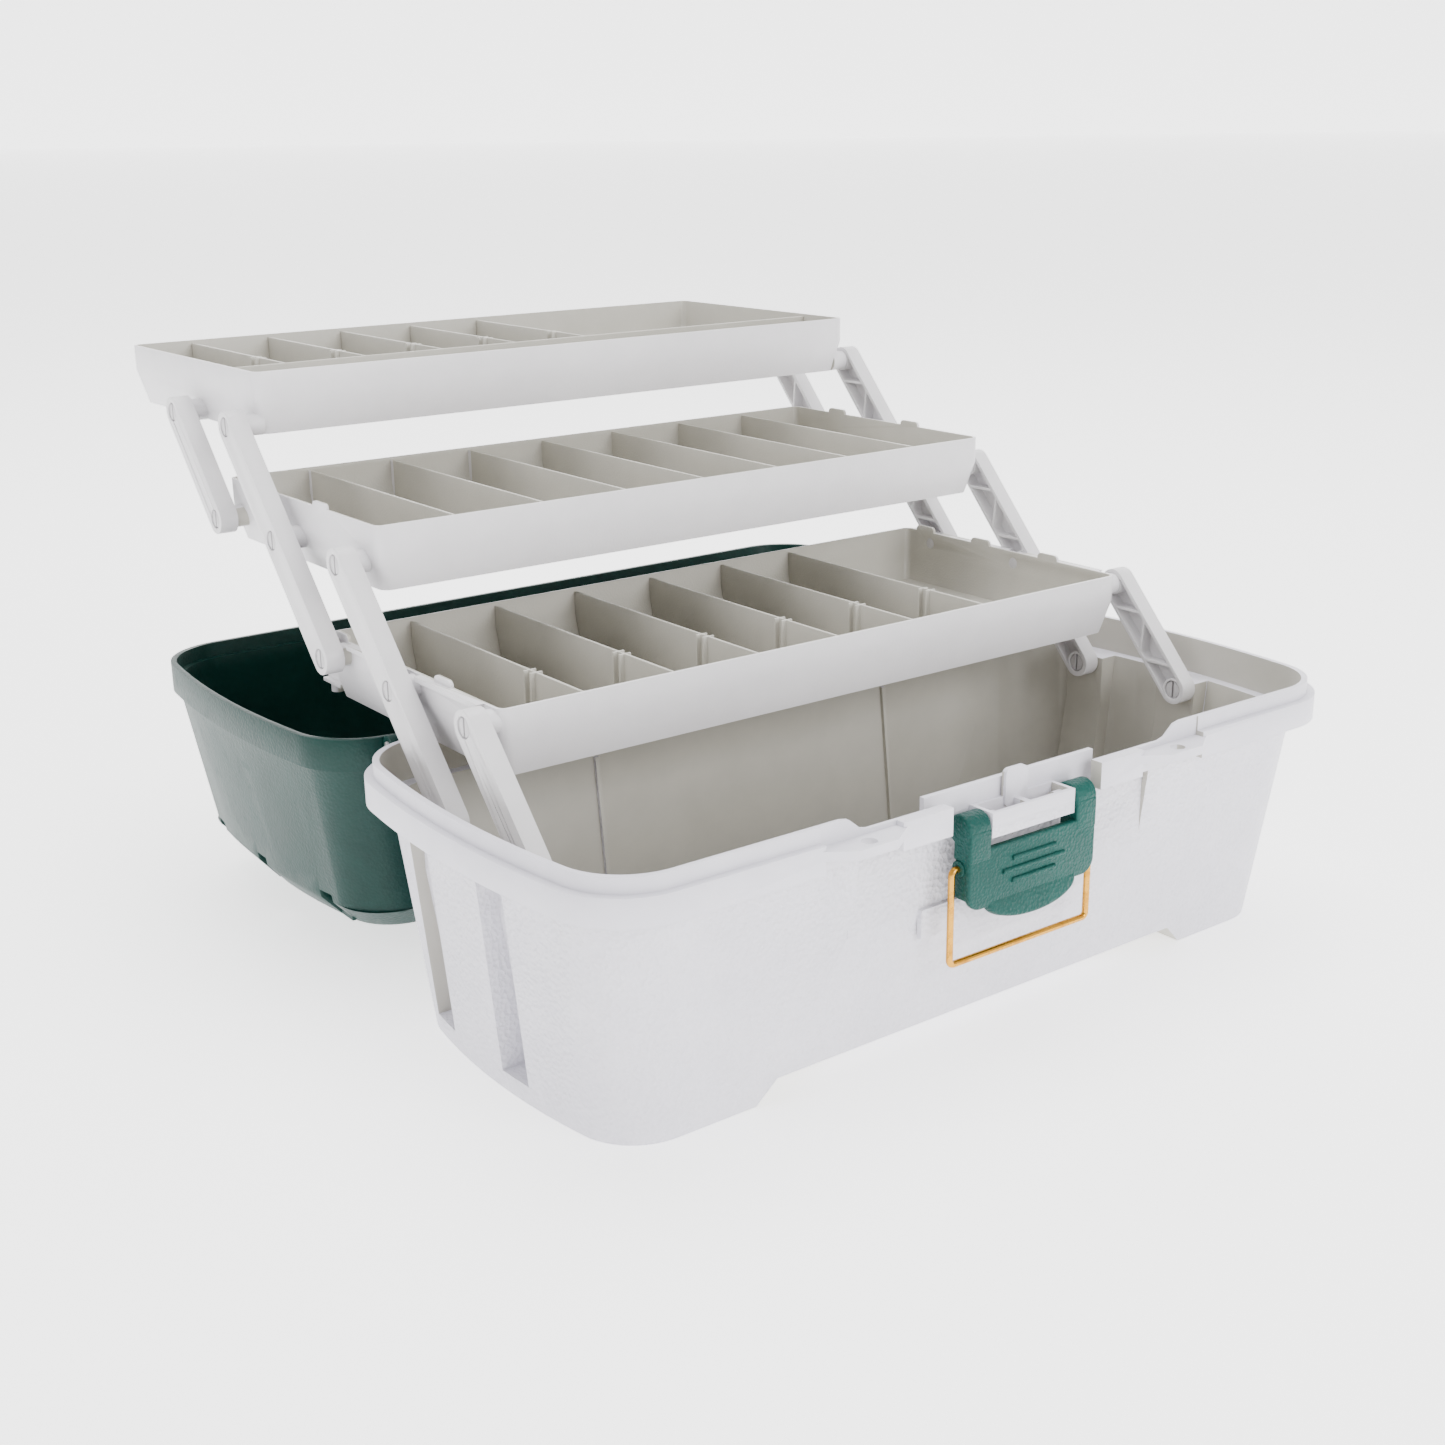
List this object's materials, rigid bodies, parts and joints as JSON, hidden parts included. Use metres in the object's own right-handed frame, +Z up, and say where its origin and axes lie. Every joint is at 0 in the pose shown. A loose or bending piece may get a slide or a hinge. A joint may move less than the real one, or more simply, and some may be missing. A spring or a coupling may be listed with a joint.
{
  "type": "fishing tackle box",
  "caption": "Open cantilever tackle box with a hinged lid, lifting arms that carry stepped trays with dividers, a lever latch with a wire bail and a folding handle.",
  "frame": {"origin": "middle of the base tub's footprint, on the surface the box stands on", "axes": "+Z up, +X along the box to its right end, -Y towards the latch side, where the user stands"},
  "size_m": [0.4412, 0.5021, 0.2699],
  "materials": {
    "white_shell": "fine leather-like moulded grain, smooth rim",
    "tray_plastic": "smooth moulded plastic",
    "divider_plastic": "smooth moulded plastic",
    "arm_plastic": "smooth moulded plastic",
    "pin_plastic": "smooth moulded plastic",
    "green_shell": "dark green moulded plastic, fine grain",
    "teal_latch": "pebbled moulded plastic",
    "handle_plastic": "dark green moulded plastic",
    "brass_wire": "bright drawn wire",
    "steel_pin": "plain steel"
  },
  "bodies": {
    "base": {"base_tub": "white_shell", "hinge_pin": "steel_pin", "base_arm_pins": "pin_plastic", "latch_pins": "steel_pin"},
    "lid": {"lid_shell": "green_shell", "handle_pins": "steel_pin"},
    "handle": {"carry_handle": "handle_plastic"},
    "latch": {"latch_lever": "teal_latch"},
    "bail": {"latch_bail": "brass_wire"},
    "lower_short_arms": {"lower_short_arm_left": "arm_plastic", "lower_short_arm_right": "arm_plastic"},
    "lower_long_arms": {"lower_long_arm_left": "arm_plastic", "lower_long_arm_right": "arm_plastic"},
    "upper_long_arms": {"upper_long_arm_left": "arm_plastic", "upper_long_arm_right": "arm_plastic"},
    "upper_short_arms": {"upper_short_arm_left": "arm_plastic", "upper_short_arm_right": "arm_plastic"},
    "bottom_tray_body": {"bottom_tray": "tray_plastic", "bottom_tray_pins": "pin_plastic", "bottom_divider_1": "divider_plastic", "bottom_divider_2": "divider_plastic", "bottom_divider_3": "divider_plastic", "bottom_divider_4": "divider_plastic", "bottom_divider_5": "divider_plastic", "bottom_divider_6": "divider_plastic"},
    "middle_tray_body": {"middle_tray": "tray_plastic", "middle_tray_pins": "pin_plastic"},
    "top_tray_body": {"top_tray": "tray_plastic", "top_tray_pins": "pin_plastic", "top_long_divider": "divider_plastic", "top_divider_1": "divider_plastic", "top_divider_2": "divider_plastic", "top_divider_3": "divider_plastic", "top_divider_4": "divider_plastic", "top_divider_5": "divider_plastic"}
  },
  "joints": [
    {"name": "tray_lift", "type": "hinge", "parent": "base", "child": "lower_long_arms", "pos_m": [0, 0.0443, 0.1014], "axis": [1, 0, 0], "range_deg": [0, 110.9]},
    {"name": "lower_short_arm_pivot", "type": "hinge", "parent": "base", "child": "lower_short_arms", "pos_m": [0, -0.0213, 0.1014], "axis": [1, 0, 0], "range_deg": [0, 110.9]},
    {"name": "bottom_tray_pivot", "type": "hinge", "parent": "lower_short_arms", "child": "bottom_tray_body", "pos_m": [0, 0.02188, 0.14918], "axis": [1, 0, 0], "range_deg": [-110.9, 0]},
    {"name": "middle_tray_pivot", "type": "hinge", "parent": "lower_long_arms", "child": "middle_tray_body", "pos_m": [0, 0.13065, 0.19697], "axis": [1, 0, 0], "range_deg": [-110.9, 0]},
    {"name": "upper_long_arm_pivot", "type": "hinge", "parent": "bottom_tray_body", "child": "upper_long_arms", "pos_m": [0, 0.15308, 0.14918], "axis": [1, 0, 0], "range_deg": [0, 110.9]},
    {"name": "upper_short_arm_pivot", "type": "hinge", "parent": "middle_tray_body", "child": "upper_short_arms", "pos_m": [0, 0.26185, 0.19697], "axis": [1, 0, 0], "range_deg": [0, 110.9]},
    {"name": "top_tray_pivot", "type": "hinge", "parent": "upper_long_arms", "child": "top_tray_body", "pos_m": [0, 0.23943, 0.24475], "axis": [1, 0, 0], "range_deg": [-110.9, 0]},
    {"name": "lid_hinge", "type": "hinge", "parent": "base", "child": "lid", "pos_m": [0, 0.1087, 0.1175], "axis": [1, 0, 0], "range_deg": [0, 110]},
    {"name": "latch_pivot", "type": "hinge", "parent": "base", "child": "latch", "pos_m": [0, -0.1002, 0.103], "axis": [1, 0, 0], "range_deg": [-95, 0]},
    {"name": "bail_pivot", "type": "hinge", "parent": "latch", "child": "bail", "pos_m": [0, -0.1002, 0.086], "axis": [1, 0, 0], "range_deg": [-100, 0]},
    {"name": "handle_pivot", "type": "hinge", "parent": "lid", "child": "handle", "pos_m": [0, 0.2174, 0.0097], "axis": [1, 0, 0], "range_deg": [-90, 0]}
  ],
  "couplings": [
    {"joint": "lower_short_arm_pivot", "follows": "tray_lift", "ratio": 1},
    {"joint": "bottom_tray_pivot", "follows": "tray_lift", "ratio": -1},
    {"joint": "middle_tray_pivot", "follows": "tray_lift", "ratio": -1},
    {"joint": "upper_long_arm_pivot", "follows": "tray_lift", "ratio": 1},
    {"joint": "upper_short_arm_pivot", "follows": "tray_lift", "ratio": 1},
    {"joint": "top_tray_pivot", "follows": "tray_lift", "ratio": -1},
    {"joint": "lid_hinge", "follows": "tray_lift", "ratio": 0.99188}
  ]
}
